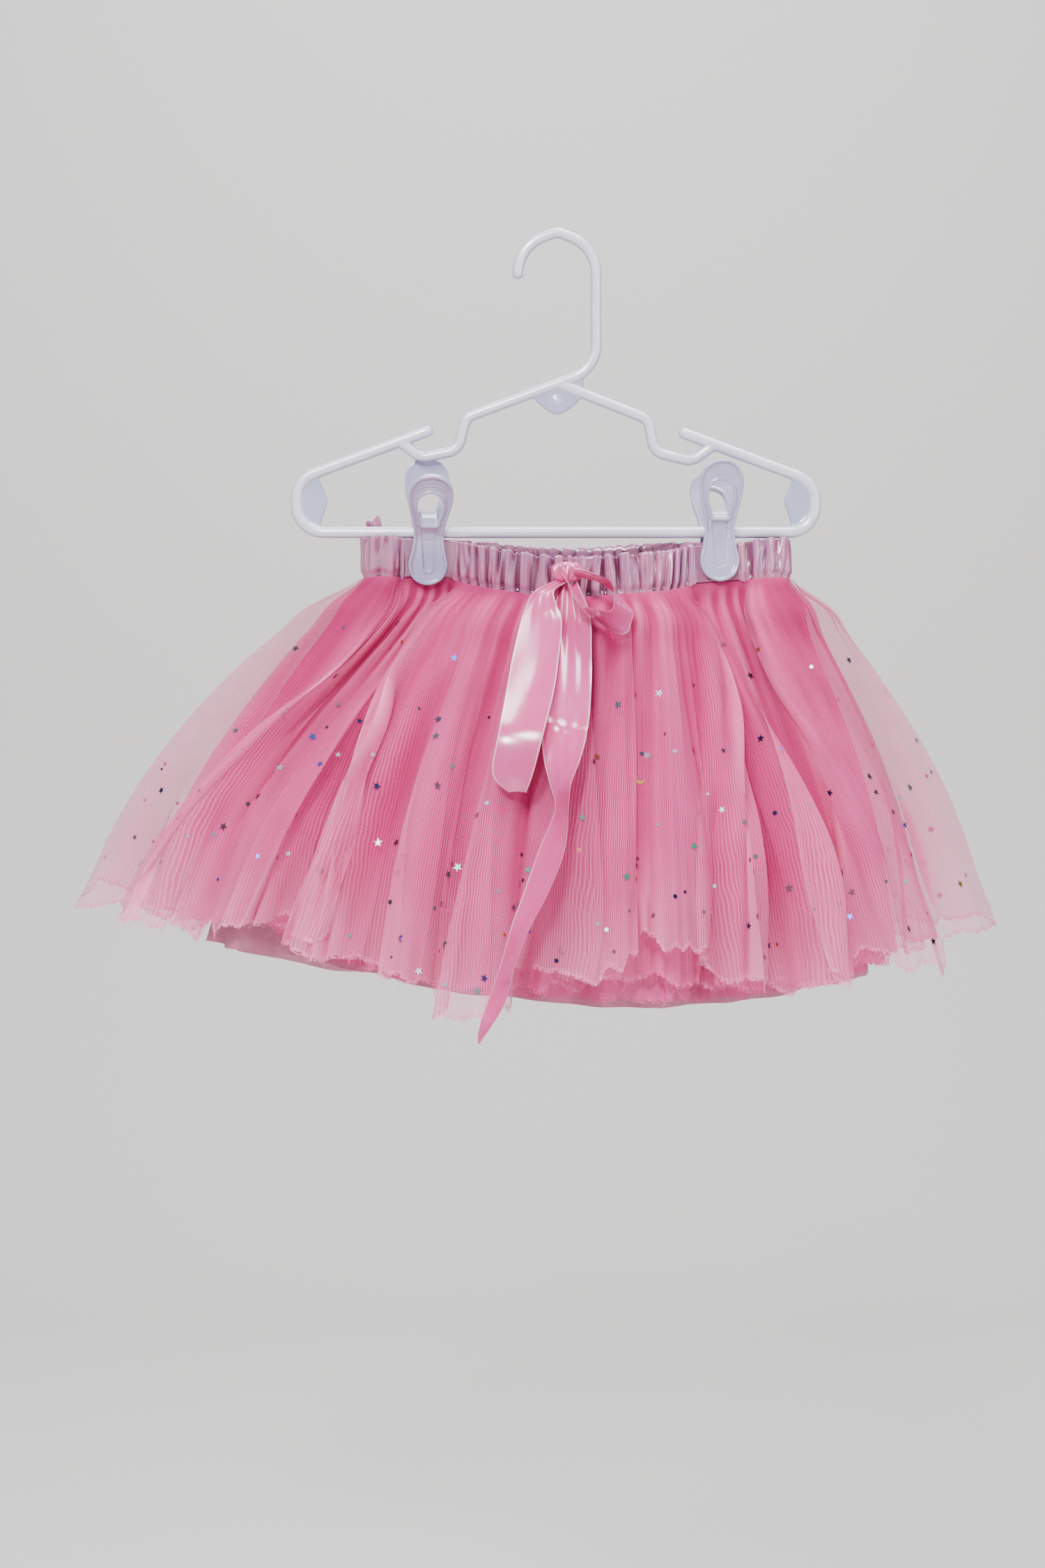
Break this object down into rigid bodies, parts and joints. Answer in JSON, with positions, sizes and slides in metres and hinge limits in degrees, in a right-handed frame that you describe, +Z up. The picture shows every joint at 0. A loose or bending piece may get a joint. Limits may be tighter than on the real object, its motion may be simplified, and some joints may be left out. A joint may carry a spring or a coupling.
{
  "type": "tutu skirt on clip hanger",
  "caption": "Short flared tutu skirt of gathered tulle over a satin lining, with a ruched waistband and a ribbon bow, hung by keyhole clips from a small plastic hanger.",
  "frame": {"origin": "inside top of the hanger's hook, where the rail carries it", "axes": "+Z up, the skirt's front faces -Y, +X to the right as seen from the front"},
  "size_m": [0.4984, 0.2692, 0.4353],
  "materials": {
    "hanger_plastic": "gloss white",
    "clip_plastic": "gloss bluish white",
    "casing_satin": "iridescent lilac and pink satin",
    "lining_satin": "pink satin",
    "plain_tulle": "sheer pink tulle",
    "star_tulle": "sheer pink tulle with glued sequins",
    "ribbon_satin": "pink satin ribbon"
  },
  "bodies": {
    "root": {"hanger": "hanger_plastic", "clip_left": "clip_plastic", "clip_right": "clip_plastic", "waistband": "casing_satin", "lining": "lining_satin", "tulle_under": "plain_tulle", "tulle_outer": "star_tulle", "bow_knot": "ribbon_satin", "bow_loop": "ribbon_satin", "bow_tail_front": "ribbon_satin", "bow_tail_back": "ribbon_satin"}
  },
  "joints": []
}
